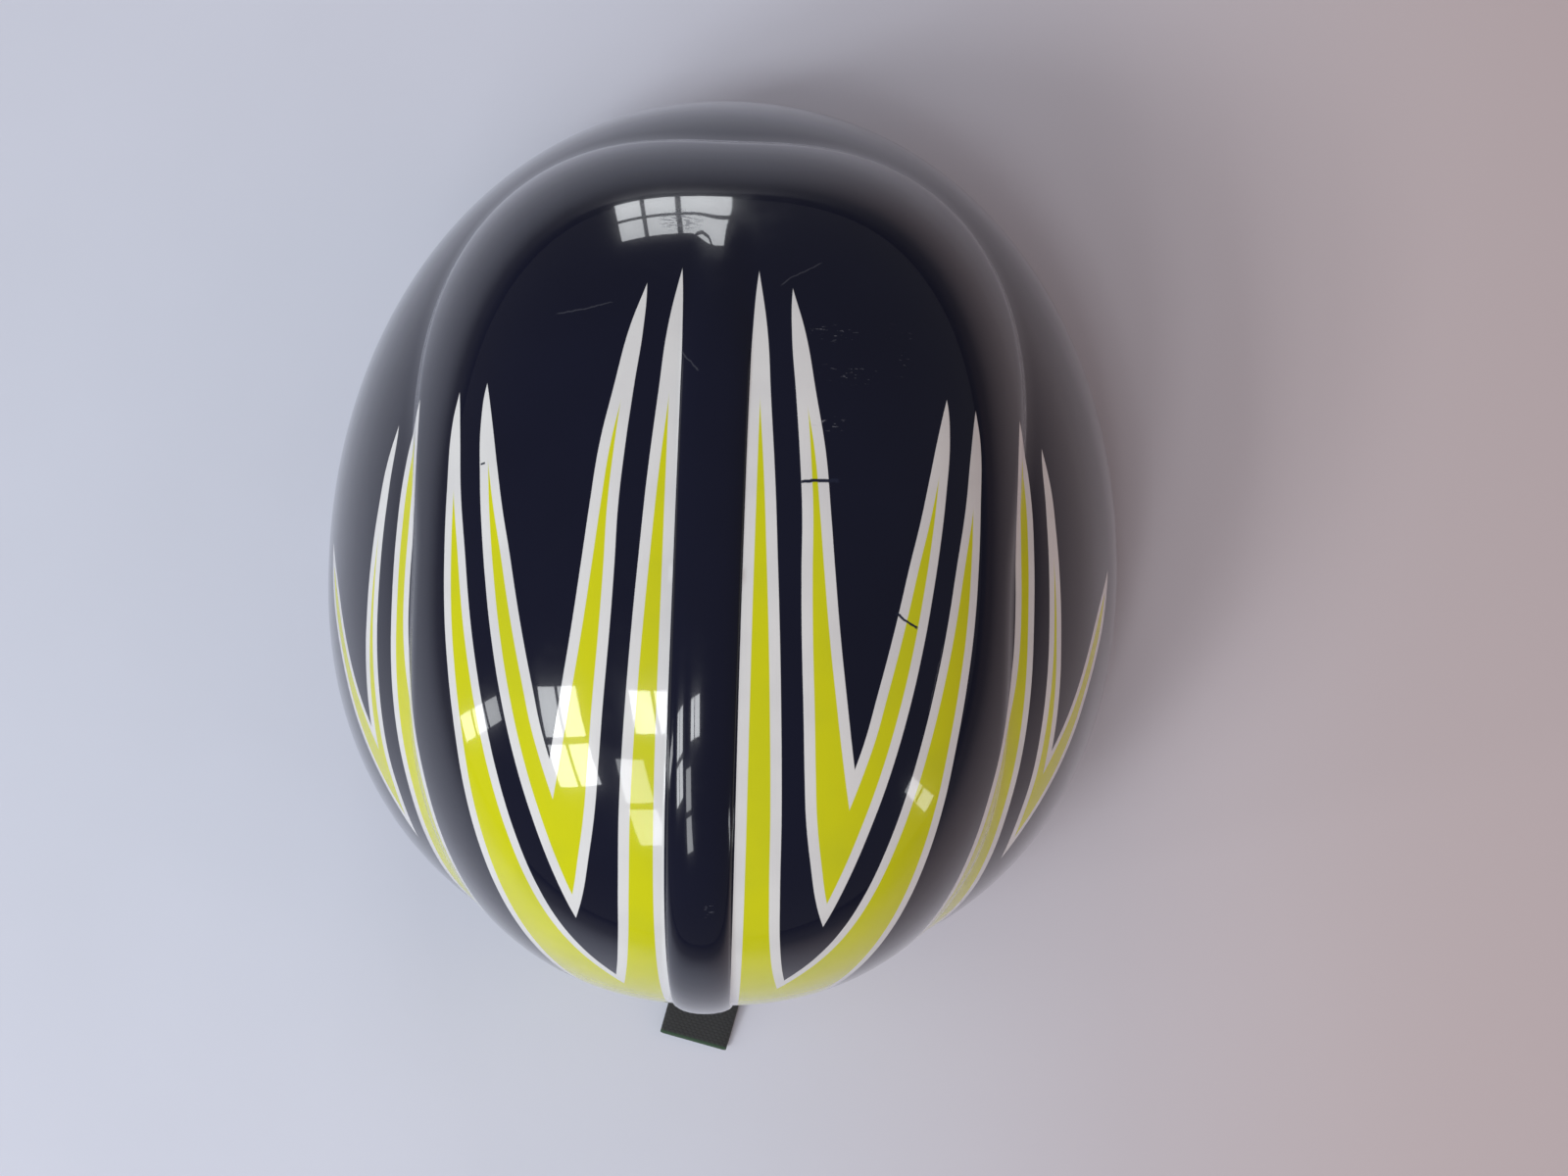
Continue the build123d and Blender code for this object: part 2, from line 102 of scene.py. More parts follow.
def shell_reach(turn, z, grow=0.0):
    """How far out the painted surface is: the crown rolls over a lip into a valley at the band."""
    crown, band = two_domes(turn, z, grow)
    share = np.clip((crown - band) / lip_run, 0, 1)
    lip = crown_lip * (1 - (1 - share) ** 2) ** 0.8
    raised = crown + lip
    blend = np.maximum(0.0, valley_blend - np.abs(raised - band)) ** 2 / (4 * valley_blend)
    return np.where(crown > 0, np.maximum(raised, band) + blend, 0)


def rim_height(y):
    """Height of the shell's edge, which lifts at brow and nape."""
    lift = 0.0
    for side, flat, angle in ((-1, rim_flat_front, rim_lift_front),
                              (1, rim_flat_rear, rim_lift_rear)):
        past = side * (y - shell_y) - flat
        soft = rim_bend * tan(radians(angle) / 2)
        bent = np.clip(past + soft, 0, 2 * soft) ** 2 / (2 * rim_bend)
        lift = lift + np.where(past > soft, past * tan(radians(angle)), bent)
    return rim_z + lift


class Spread:
    """Directions round the shell: two fans of rays and, between them, rows along the spine."""

    def __init__(self, fan, rows):
        turns = np.linspace(-pi / 2, pi / 2, fan + 1)
        across = spine_half * np.sin(np.linspace(pi / 2, -pi / 2, rows + 1))[1:-1]
        self.base = np.concatenate([np.full(fan + 1, spine_half), across,
                                    np.full(fan + 1, -spine_half), -across])[:, None]
        self.turn = np.concatenate([turns, np.full(rows - 1, pi / 2),
                                    turns + pi, np.full(rows - 1, -pi / 2)])[:, None]

    def point(self, lift, grow=0.0):
        """Where a ray at an elevation leaves the shell."""
        low, high = np.zeros_like(lift), np.full_like(lift, ray_length)
        for _ in range(34):
            middle = (low + high) / 2
            x = self.base + middle * np.cos(lift) * np.cos(self.turn)
            y = middle * np.cos(lift) * np.sin(self.turn)
            z = core_z + middle * np.sin(lift)
            inside = np.hypot(x, y) < shell_reach(np.arctan2(y, x), z, grow)
            low, high = np.where(inside, middle, low), np.where(inside, high, middle)
        return np.stack([x, y + crown_y, z], -1)

    def rim_lift(self, grow=0.0, raised=0.0):
        """Elevation at which each ray meets the shell's edge."""
        low = np.full_like(self.turn, lowest_lift)
        high = np.zeros_like(self.turn)
        for _ in range(26):
            middle = (low + high) / 2
            spot = self.point(middle, grow)
            above = spot[..., 2] > rim_height(spot[..., 1]) + raised
            high, low = np.where(above, middle, high), np.where(above, low, middle)
        return high

    def crease_lift(self, rim):
        """Elevation at which the crown meets the band."""
        shares = np.linspace(0, 1, 160)[None, :]
        lifts = top_lift + (rim - top_lift) * shares
        spot = self.point(lifts)
        x, y = spot[..., 0], spot[..., 1] - crown_y
        crown, band = two_domes(np.arctan2(y, x), spot[..., 2], 0.0)
        under = band > crown
        first = np.where(under.any(1), under.argmax(1), shares.size - 1)
        rows = np.arange(len(first))
        ahead = np.maximum(first - 1, 0)
        gap = crown - band
        step = gap[rows, ahead] / np.maximum(gap[rows, ahead] - gap[rows, first], 1e-6)
        at = (ahead + np.where(under.any(1), np.clip(step, 0, 1), 1)) / (shares.size - 1)
        at = np.minimum(at, 0.86)[:, None]
        return top_lift + (rim - top_lift) * at


def outward(spots, grow=0.0):
    """Unit normals of the shell's surface at points on it."""
    def value(p):
        x, y = p[..., 0], p[..., 1] - crown_y
        return np.hypot(x, y) - shell_reach(np.arctan2(y, x), p[..., 2], grow)
    reach, steepest = 0.4, 40
    slope = np.stack([value(spots + step) - value(spots - step)
                      for step in reach * np.eye(3)], -1)
    slope[..., 2] = np.where(np.abs(slope[..., 2]) > steepest, steepest, slope[..., 2])
    return slope / np.linalg.norm(slope, axis=-1, keepdims=True)


# --- mesh helpers ----------------------------------------------------------------------------
def piece(name, spots, faces, body, finish, stands_for=(), uv=None):
    """A finished mesh in place, riding on its body."""
    mesh = bpy.data.meshes.new(name)
    mesh.from_pydata((np.asarray(spots) * mm).tolist(), [], [list(map(int, f)) for f in faces])
    if uv is not None:
        layer = mesh.uv_layers.new(name="lay")
        corners = np.zeros(len(mesh.loops), int)
        mesh.loops.foreach_get("vertex_index", corners)
        layer.data.foreach_set("uv", (np.asarray(uv)[corners]).astype(np.float32).ravel())
    work = bmesh.new()
    work.from_mesh(mesh)
    bmesh.ops.remove_doubles(work, verts=work.verts, dist=2e-6)
    bmesh.ops.dissolve_degenerate(work, edges=work.edges, dist=1e-7)
    bmesh.ops.recalc_face_normals(work, faces=work.faces)
    work.to_mesh(mesh)
    work.free()
    mesh.shade_smooth()
    made = bpy.data.objects.new(name, mesh)
    bpy.context.scene.collection.objects.link(made)
    mesh.materials.append(finish)
    if stands_for:
        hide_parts(*stands_for)
    if body:
        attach(made, body)
    return made


def loops_to_faces(rows, around, wrap=False):
    """Quads between rows of points that run round; wrap joins the last row to the first."""
    faces = []
    for row in range(rows if wrap else rows - 1):
        here, there = row * around, (row + 1) % rows * around
        for spot in range(around):
            after = (spot + 1) % around
            faces.append((here + spot, here + after, there + after, there + spot))
    return faces


# --- materials -------------------------------------------------------------------------------
class Value:
    """A socket in a material, with arithmetic that adds its Math nodes."""

    def __init__(self, finish, socket):
        self.finish, self.socket = finish, socket

    def math(self, operation, *others):
        return self.finish.node("Math", {"operation": operation},
                                dict(enumerate((self,) + others)))

    def __add__(self, other): return self.math("ADD", other)
    def __sub__(self, other): return self.math("SUBTRACT", other)
    def __mul__(self, other): return self.math("MULTIPLY", other)
    def __truediv__(self, other): return self.math("DIVIDE", other)
    def __pow__(self, other): return self.math("POWER", other)
    def __rsub__(self, other): return (self * -1) + other
    __radd__, __rmul__ = __add__, __mul__

    def least(self, other): return self.math("MINIMUM", other)
    def most(self, other): return self.math("MAXIMUM", other)
    def size(self): return self.math("ABSOLUTE")

    def step(self, low, high):
        """0 below low, 1 above high, smooth between."""
        return self.finish.node("MapRange", {"interpolation_type": "SMOOTHSTEP"},
                                {"Value": self, "From Min": low, "From Max": high})


class Finish:
    """Builds the nodes of one material."""

    def __init__(self, name):
        self.material = bpy.data.materials.new(name)
        self.material.use_nodes = True
        self.nodes = self.material.node_tree.nodes
        self.links = self.material.node_tree.links
        self.nodes.clear()
        self.place = self.node("TexCoord", {}, {}, "Object")

    def node(self, kind, settings, sockets, out=0):
        made = self.nodes.new("ShaderNode" + kind)
        for name, value in settings.items():
            if name == "stops":
                ramp = made.color_ramp.elements
                while len(ramp) < len(value):
                    ramp.new(0.5)
                for stop, (spot, colour) in zip(ramp, value):
                    stop.position, stop.color = spot, colour
            elif name == "points":
                curve = made.mapping.curves[0].points
                for _ in range(len(value) - 2):
                    curve.new(0.5, 0.5)
                for spot, (across, up) in zip(curve, value):
                    spot.location = (across, up)
                made.mapping.update()
            else:
                setattr(made, name, value)
        for name, value in sockets.items():
            if isinstance(value, Value):
                self.links.new(value.socket, made.inputs[name])
            else:
                made.inputs[name].default_value = value
        return Value(self, made.outputs[out])

    def axes(self, vector):
        """The three numbers of a vector."""
        first = self.node("SeparateXYZ", {}, {0: vector})
        outs = first.socket.node.outputs
        return [Value(self, outs[axis]) for axis in range(3)]

    def noise(self, scale, detail=2.0, vector=None):
        return self.node("TexNoise", {}, {"Vector": vector or self.place, "Scale": scale,
                                          "Detail": detail, "Roughness": 0.5})

    def mix(self, share, first, second):
        """A colour between two colours."""
        made = self.node("Mix", {"data_type": "RGBA"}, {0: share}, 2).socket.node
        for socket, value in ((made.inputs[6], first), (made.inputs[7], second)):
            if isinstance(value, Value):
                self.links.new(value.socket, socket)
            else:
                socket.default_value = value
        return Value(self, made.outputs[2])

    def bump(self, height, distance, strength=1.0, under=None):
        sockets = {"Height": height, "Distance": distance, "Strength": strength}
        if under:
            sockets["Normal"] = under
        return self.node("Bump", {}, sockets)

    def surface(self, **sockets):
        """Ends the material in one principled surface."""
        names = {name.replace("_", " ").title().replace("Ior", "IOR"): value
                 for name, value in sockets.items()}
        shader = self.node("BsdfPrincipled", {}, names)
        out = self.nodes.new("ShaderNodeOutputMaterial")
        self.links.new(shader.socket, out.inputs["Surface"])
        return self.material


# Stripe edges on the shell's flat map: how far back, how far off the middle line.
stripe_edges = {
    "spine_near": [(-72, 10.5), (-60, 8.6), (-45, 7.7), (-31, 7.5), (0, 7.5), (50, 7.5),
                   (110, 7.6), (205, 7.6)],
    "spine_far": [(-72, 6.5), (-60, 8.6), (-45, 11.0), (-31, 12.2), (-12, 13.9), (1, 14.8),
                  (20, 15.9), (39, 16.7), (57, 17.3), (78, 17.8), (94, 18.8), (109, 21.0),
                  (130, 26.0)],
    "second_near": [(-68, 18.0), (-56, 16.2), (-45, 16.3), (-32, 17.6), (-19, 18.9), (-6, 19.9),
                    (7, 20.2), (20, 20.6), (37, 21.4), (50, 22.0), (60, 22.7), (71, 24.3),
                    (80, 26.0), (88, 28.4), (98, 32.0)],
    "second_far": [(-68, 13.0), (-56, 16.2), (-45, 19.4), (-32, 22.0), (-19, 24.6), (-6, 26.2),
                   (7, 27.6), (20, 29.0), (31, 30.4), (49, 33.0), (60, 35.0)],
    "third_near": [(-46, 57.0), (-34, 53.2), (-25, 51.0), (-15, 49.0), (-5, 47.0), (5, 44.6),
                   (15, 42.3), (25, 39.8), (34, 37.4), (42, 35.3), (49, 33.0), (60, 29.0)],
    "third_far": [(-46, 48.0), (-34, 53.2), (-25, 54.2), (-12, 53.6), (0, 52.4), (12, 50.6),
                  (25, 48.1), (38, 45.0), (51, 41.3), (64, 37.0), (75, 33.2), (88, 28.4),
                  (98, 24.0)],
    "fourth_near": [(-46, 65.0), (-33, 62.0), (-22, 60.6), (-9, 59.4), (5, 57.2), (19, 54.8),
                    (32, 52.0), (45, 48.8), (58, 45.2), (70, 41.4), (80, 37.8), (90, 33.4),
                    (99, 28.2), (109, 21.0), (130, 6.0)],
    "fourth_far": [(-46, 59.0), (-33, 62.0), (-25, 63.7), (-10, 64.2), (5, 64.1), (19, 63.1),
                   (33, 61.2), (47, 58.9), (61, 56.6), (76, 53.4), (89, 50.0), (98, 47.2),
                   (109, 43.4), (130, 36.0), (155, 27.0), (180, 17.0), (205, 5.0)],
    "fifth_near": [(-48, 82.6), (-35, 80.3), (-17, 79.3), (-1, 79.7), (15, 80.2), (32, 79.8),
                   (48, 77.5), (64, 74.4), (81, 71.2), (97, 67.6), (112, 63.6), (130, 58.0),
                   (155, 49.0), (205, 30.0)],
    "fifth_far": [(-48, 76.5), (-35, 80.3), (-26, 84.2), (-16, 86.3), (2, 87.6), (21, 88.0),
                  (39, 88.4), (57, 88.3), (76, 87.7), (94, 87.5), (112, 86.8), (130, 84.0),
                  (155, 77.0), (205, 60.0)],
    "sixth_near": [(-42, 95.0), (-30, 92.1), (-13, 93.0), (3, 94.2), (19, 94.9), (34, 95.4),
                   (50, 95.5), (66, 95.4), (81, 94.4), (97, 94.2), (112, 94.0)],
    "sixth_far": [(-42, 88.0), (-30, 92.1), (-18, 95.8), (-7, 97.6), (4, 99.2), (15, 100.4),
                  (26, 101.3), (36, 102.2), (47, 102.9), (58, 103.4), (70, 104.0)],
    "seventh_near": [(-8, 143.0), (4, 135.8), (10, 131.4), (16, 127.0), (22, 123.4), (29, 119.9),
                     (35, 117.0), (41, 114.1), (47, 111.0), (53, 107.6), (59, 103.8), (66, 99.5)],
    "seventh_far": [(-8, 130.0), (4, 135.8), (12, 134.8), (23, 131.5), (33, 127.0), (44, 122.0),
                    (55, 117.6), (65, 112.9), (76, 106.8), (87, 100.4), (98, 94.2), (108, 88.0)],
}
map_front, map_length, map_width, map_round = -75.0, 285.0, 160.0, 120.0
white_edge = 2.4


def stripe_distance(finish):
    """Signed distance into the stripes, in millimetres, from the shell's flat map."""
    centre = finish.node("VectorMath", {"operation": "MULTIPLY_ADD"},
                         {0: finish.place, 1: (1000.0,) * 3, 2: (0.0, -shell_y, -30.0)})
    x, y, z = finish.axes(centre)
    flat = (x * x + y * y) ** 0.5
    fan = flat.math("ARCTAN2", z) * map_round / flat.most(0.01)
    side, back = (x * fan).size(), y * fan
    along = (back - map_front) / map_length

    def edge(name):
        points = [((v - map_front) / map_length, u / map_width) for v, u in stripe_edges[name]]
        return finish.node("FloatCurve", {"points": points}, {"Value": along}) * map_width

    def between(first, second):
        return (side - edge(first + "_near")).least(edge(second + "_far") - side)

    def joined(first, second):
        """Two stripes that run into each other at the back."""
        apart = (edge(first + "_far") - side).most(side - edge(second + "_near"))
        return between(first, second).least(apart)

    upper = joined("second", "third").most(joined("spine", "fourth"))
    lower = between("fifth", "fifth").most(joined("sixth", "seventh"))
    return upper.most(lower), x * fan, back


def shell_paint():
    finish = Finish("shell_paint")
    into, across, back = stripe_distance(finish)
    wobble = (finish.noise(240.0, 3.0) - 0.5) * 3.0
    drawn_out = finish.node("CombineXYZ", {}, {0: across * 0.45, 1: back * 1.9})
    streak = finish.noise(1.0, 3.0, vector=drawn_out)

    def mark(x, y, turn, half, wide):
        """A thin line, ragged along its edges: 1 on it, 0 off it."""
        dx, dy = across - x, back - y
        along = (dx * cos(radians(turn)) + dy * sin(radians(turn))).size()
        off = (dy * cos(radians(turn)) - dx * sin(radians(turn)) + wobble * 0.5).size()
        return off.step(wide, wide * 0.4) * along.step(half, half * 0.8)

    def worn(x, y, wide, long, fill):
        """A blotch of fine pits: 1 in a pit, 0 elsewhere."""
        away = (((across - x) / wide) ** 2 + ((back - y) / long) ** 2) ** 0.5
        return streak.step(1 - fill, 1.04 - fill) * away.step(1.0, 0.4)

    crack = mark(-23.4, -12.9, 3, 4.6, 0.55).most(mark(-44.2, 17.0, -32, 3.4, 0.4))
    crack = crack.most(mark(52.9, -15.0, 20, 0.7, 0.35))
    chalk = worn(10.0, -73.5, 6.0, 4.0, 0.50) * 0.8
    for x, y, wide, long, fill, strength in (
            (-25.0, -46.0, 7.5, 2.4, 0.38, 0.6), (-29.5, -37.0, 8.0, 3.0, 0.36, 0.6),
            (-25.0, -25.5, 5.0, 2.0, 0.4, 0.6), (-41.0, -44.0, 4.0, 8.0, 0.34, 0.4),
            (-2.4, 80.0, 1.3, 3.0, 0.42, 0.4)):
        chalk = chalk.most(worn(x, y, wide, long, fill) * strength)
    for x, y, turn, half in ((-18, -60, 35, 6), (6, -38, -50, 4), (30, -50, 10, 7),
                             (-52, 30, 78, 8)):
        chalk = chalk.most(mark(x, y, turn, half, 0.2) * 0.18)
    decal = into.step(-0.06, 0.06)
    yellow = into.step(white_edge - 0.1, white_edge + 0.1)
    cloud = finish.noise(26.0, 3.0)
    navy = finish.mix(cloud, (0.0035, 0.0042, 0.0150, 1), (0.0060, 0.0072, 0.0230, 1))
    fade = finish.noise(60.0, 2.0).step(0.35, 0.75)
    lime = finish.mix(fade, (0.700, 0.690, 0.0060, 1), (0.650, 0.650, 0.0100, 1))
    white = finish.mix(fade, (0.82, 0.80, 0.78, 1), (0.76, 0.74, 0.73, 1))
    colour = finish.mix(decal, navy, finish.mix(yellow, white, lime))
    colour = finish.mix(crack, colour, (0.012, 0.015, 0.035, 1))
    colour = finish.mix(chalk * 0.5, colour, (0.42, 0.42, 0.46, 1))
    peel = finish.noise(420.0, 1.0)
    normal = finish.bump(peel, 0.00002, 0.35)
    normal = finish.bump(decal - crack, 0.00006, 0.6, normal)
    haze = finish.noise(180.0, 4.0).step(0.45, 0.8)
    return finish.surface(base_color=colour, roughness=haze * 0.05 + chalk * 0.4 + 0.16,
                          normal=normal, coat_weight=0.75 - chalk * 0.6, coat_roughness=0.03,
                          specular_ior_level=0.12)


def trim_rubber():
    finish = Finish("trim_rubber")
    grain = finish.noise(2600.0, 2.0)
    patch = finish.noise(90.0, 3.0).step(0.4, 0.7)
    colour = finish.mix(patch, (0.0075, 0.008, 0.011, 1), (0.013, 0.0135, 0.017, 1))
    return finish.surface(base_color=colour, roughness=patch * 0.12 + 0.42,
                          normal=finish.bump(grain, 0.00004, 0.6))


def bead_foam():
    finish = Finish("bead_foam")
    bead = finish.node("TexVoronoi", {"feature": "DISTANCE_TO_EDGE"},
                       {"Vector": finish.place, "Scale": 260.0})
    shade = finish.node("TexVoronoi", {}, {"Vector": finish.place, "Scale": 260.0}, "Color")
    tone = finish.axes(shade)[0]
    colour = finish.mix(tone, (0.0110, 0.0125, 0.0150, 1), (0.024, 0.026, 0.030, 1))
    # Painted shade: the grooves between the beads are coloured darker.
    groove = bead.step(0.0, 0.09)
    colour = finish.mix(groove, (0.006, 0.0065, 0.008, 1), colour)
    return finish.surface(base_color=colour, roughness=0.72 - tone * 0.14,
                          normal=finish.bump(groove, 0.0003, 0.8))


def brushed_fabric(name="brushed_fabric", shade=1.0):
    finish = Finish(name)
    loops = finish.node("TexVoronoi", {}, {"Vector": finish.place, "Scale": 1300.0})
    nap = finish.noise(380.0, 4.0)
    dark, light = ((r * shade, g * shade, b * shade, 1)
                   for r, g, b in ((0.012, 0.013, 0.016), (0.038, 0.040, 0.047)))
    colour = finish.mix(nap, dark, light)
    normal = finish.bump(loops + nap * 0.6, 0.00025, 0.8)
    return finish.surface(base_color=colour, roughness=0.95, sheen_weight=0.35,
                          sheen_roughness=0.5, normal=normal)


def webbing(name, tone, cut=None):
    """Woven tape: ribs across and picks along, laid by the piece's own map in millimetres."""
    finish = Finish(name)
    lay = finish.node("UVMap", {"uv_map": "lay"}, {})
    along, across, _ = finish.axes(lay)
    rib, pick = 1.5, 0.9
    row = (along / pick).math("FLOOR")
    skew = across / rib + row * 0.5
    warp = (skew * pi).math("SINE").size()
    weft = (along * (pi / pick)).math("SINE").size()
    height = warp * 0.65 + weft * 0.35
    fuzz = finish.noise(900.0, 3.0)
    # Painted shade: the low places of the weave are coloured darker, down to 0.45 of the tape's
    # tone.
    dark = tuple(c * 0.45 for c in tone) + (1,)
    colour = finish.mix(height * 0.7 + fuzz * 0.3, dark, tone + (1,))
    if cut:
        colour = finish.mix(along.step(cut - 1.3, cut - 0.5), colour, (0.030, 0.075, 0.035, 1))
    return finish.surface(base_color=colour, roughness=0.85, sheen_weight=0.15,
                          normal=finish.bump(height + fuzz * 0.25, 0.0002, 0.9))


def metal(name, colour, dull, rough):
    finish = Finish(name)
    patch = finish.noise(500.0, 4.0).step(0.3, 0.75)
    shade = finish.mix(patch, colour + (1,), dull + (1,))
    scratch = finish.noise(3000.0, 1.0)
    return finish.surface(base_color=shade, metallic=1.0, roughness=patch * 0.18 + rough,
                          normal=finish.bump(scratch, 0.00001, 0.3))


def moulded(name, tone, rough, grain_scale=1600.0):
    finish = Finish(name)
    grain = finish.noise(grain_scale, 2.0)
    rub = finish.noise(70.0, 4.0).step(0.5, 0.8)
    colour = finish.mix(rub, tone + (1,), tuple(c * 1.9 for c in tone) + (1,))
    return finish.surface(base_color=colour, roughness=rub * 0.1 + rough,
                          normal=finish.bump(grain, 0.00003, 0.5))


shell_gloss = shell_paint()
trim_black = trim_rubber()
foam_black = bead_foam()
pad_fabric = brushed_fabric()
pad_binding = brushed_fabric("pad_binding", 0.6)
strap_web = webbing("strap_web", (0.022, 0.023, 0.027))
rivet_steel = metal("rivet_steel", (0.62, 0.62, 0.63), (0.40, 0.40, 0.42), 0.22)
eyelet_brass = metal("eyelet_brass", (0.66, 0.46, 0.20), (0.40, 0.27, 0.12), 0.30)
buckle_plastic = moulded("buckle_plastic", (0.012, 0.012, 0.014), 0.36)
hook_black = moulded("hook_black", (0.012, 0.012, 0.013), 0.9, 700.0)
keeper_rubber = moulded("keeper_rubber", (0.016, 0.016, 0.017), 0.6, 2400.0)
thread = moulded("thread", (0.05, 0.05, 0.055), 0.8, 3000.0)


# --- painted shell ---------------------------------------------------------------------------
def painted_shell():
    spread = Spread(fan=190, rows=14)
    rim = spread.rim_lift()
    crease = spread.crease_lift(rim)
    top, side = np.linspace(0, 1, 74), np.linspace(0, 1, 46)[1:]
    upper = pi / 2 + (crease - pi / 2) * (1 - (1 - top) ** 1.3)[None, :]
    lower = crease + (rim - crease) * (side ** 1.3)[None, :]
    outside = spread.point(np.concatenate([upper, lower], 1))
    lean = outward(outside)
    flat = outside[..., 1] - shell_y
    fade = np.clip((flat - spine_start) / spine_fade, 0, 1)
    fade = fade * fade * (3 - 2 * fade)
    over = np.clip(1 - np.abs(outside[..., 0] / spine_half) ** 2.4, 0, 1)
    over = over ** (0.62 + 2.4 * (1 - fade))
    outside = outside + lean * (over * fade * spine_rise)[..., None]
    rim_inside = spread.rim_lift(grow=-shell_wall)
    inner_levels = (np.linspace(0, 1, 26)[::-1] ** 0.8)[None, :]
    inside = spread.point(pi / 2 + (rim_inside - pi / 2) * inner_levels, -shell_wall)
    rows = np.concatenate([outside, inside], 1).transpose(1, 0, 2)
    faces = loops_to_faces(rows.shape[0], rows.shape[1])
    return piece("painted_shell", rows.reshape(-1, 3), faces, "helmet", shell_gloss,
                 stands_for=["outer_shell"])


painted_shell()


# --- edge trim -------------------------------------------------------------------------------
def edge_trim():
    spread = Spread(fan=150, rows=4)
    rim = spread.rim_lift()
    foot = spread.point(rim)[:, 0]
    lean = outward(spread.point(rim)[:, :1])[:, 0]
    level = lean * [1, 1, 0]
    level = level / np.linalg.norm(level, axis=1, keepdims=True)
    upright = np.array([0.0, 0.0, 1.0])
    high, wall, deep = trim_height, trim_wall, shell_wall + 0.1
    tip, under = np.linspace(pi, 0, 7), np.linspace(0, pi / 2, 6)
    outline = [(wall / 2 + wall / 2 * cos(t), high - wall / 2 + wall / 2 * sin(t)) for t in tip]
    outline += [(wall * cos(t), -wall * sin(t)) for t in under]
    outline += [(-deep - wall * sin(t), -wall * cos(t)) for t in under]
    outline += [(-deep - wall / 2 - wall / 2 * cos(t), high - wall / 2 + wall / 2 * sin(t))
                for t in tip[::-1]]
    outline += [(-deep, 0.05), (0.05, 0.05)]
    rows = np.array([foot + level * out + upright * up + lean_in(foot, level, up)
                     for out, up in outline])
    count = rows.shape[1]
    faces = loops_to_faces(len(rows), count, wrap=True)
    return piece("edge_trim", rows.reshape(-1, 3), faces, "helmet", trim_black,
                 stands_for=["rim_trim"])


def lean_in(foot, level, up):
    """How far the shell leans away from upright by a height above its edge."""
    x, y = foot[:, 0], foot[:, 1] - crown_y
    turn = np.arctan2(y, x)
    z = foot[:, 2]
    change = shell_reach(turn, z + max(up, 0)) - shell_reach(turn, z)
    return level * change[:, None]


edge_trim()


# --- flat tape along a path ------------------------------------------------------------------
def rounded_path(corners, radii, step):
    """Points along straight runs joined by arcs, in a plane."""
    points = [np.array(corners[0], float)]
    for before, corner, after, radius in zip(corners, corners[1:], corners[2:], radii):
        before, corner, after = (np.array(c, float) for c in (before, corner, after))
        into = (corner - before) / np.linalg.norm(corner - before)
        away = (after - corner) / np.linalg.norm(after - corner)
        turn = np.arccos(np.clip(into @ away, -1, 1))
        reach = radius * tan(turn / 2)
        side = 1 if into[0] * away[1] - into[1] * away[0] > 0 else -1
        start = corner - into * reach
        middle = start + radius * side * np.array([-into[1], into[0]])
        first = np.arctan2(*(start - middle)[::-1])
        for share in np.linspace(0, 1, max(3, int(radius * turn / step) + 2)):
            angle = first + side * turn * share
            points.append(middle + radius * np.array([np.cos(angle), np.sin(angle)]))
    points.append(np.array(corners[-1], float))
    return points


def evenly(points, step):
    """The same path with points a step apart."""
    points = np.array(points)
    run = np.concatenate([[0], np.cumsum(np.linalg.norm(np.diff(points, axis=0), axis=1))])
    marks = np.linspace(0, run[-1], max(2, int(run[-1] / step) + 1))
    placed = [np.interp(marks, run, points[:, axis]) for axis in range(points.shape[1])]
    return np.stack(placed, 1), marks


def tape(name, path, wide, width, thick, body, finish, stands_for=(), shift=np.asarray):
    """Flat webbing with rounded edges along a path; wide is the direction of its width."""
    path, marks = evenly(path, 1.4)
    wide = np.array(wide, float)
    along = np.gradient(path, axis=0)
    along /= np.linalg.norm(along, axis=1, keepdims=True)
    off = np.cross(along, wide)
    off /= np.linalg.norm(off, axis=1, keepdims=True)
    half, edge = width / 2, thick / 2
    profile = [(half - edge + edge * sin(t), edge * cos(t)) for t in np.linspace(0, pi, 5)]
    profile += [(x, -edge) for x in np.linspace(half - edge, -half + edge, 6)[1:-1]]
    profile += [(-half + edge - edge * sin(t), -edge * cos(t)) for t in np.linspace(0, pi, 5)]
    profile += [(x, edge) for x in np.linspace(-half + edge, half - edge, 6)[1:-1]]
    rows, laid = [], []
    for spot, mark, side in zip(path, marks, off):
        rows += [spot + wide * across + side * up for across, up in profile]
        laid += [(mark, across + half) for across, up in profile]
    count = len(profile)
    faces = loops_to_faces(len(path), count)
    faces += [tuple(range(count)), tuple(range((len(path) - 1) * count, len(path) * count))]
    rows = shift(np.array(rows))
    return piece(name, rows, faces, body, finish, stands_for=stands_for, uv=laid)


strap_x, strap_z = 102.0, 15.0
strap_end, strap_drop, chin_half, chin_reach = 9.0, 13.0, 34.0, 84.0
bend_radius, chin_radius = 14.0, 20.0
web_width, web_thick, web_layer = 18.0, 1.5, 2.15
bend = np.array([strap_x, strap_y - strap_drop])
corner = np.array([chin_half, strap_y - chin_reach])
leg_way = (corner - bend) / np.linalg.norm(corner - bend)
leg_out = np.array([-leg_way[1], leg_way[0]])


def on_leg(run, out):
    return bend + leg_way * run + leg_out * out


def turn_back(run, way):
    """Points of the half turn that the webbing makes round a buckle bar."""
    return [on_leg(run + way * web_layer * sin(t), -web_layer * (1 - cos(t)))
            for t in np.linspace(0, pi, 12)]


def level_path(points, z):
    return [(p[0], p[1], z) for p in points]


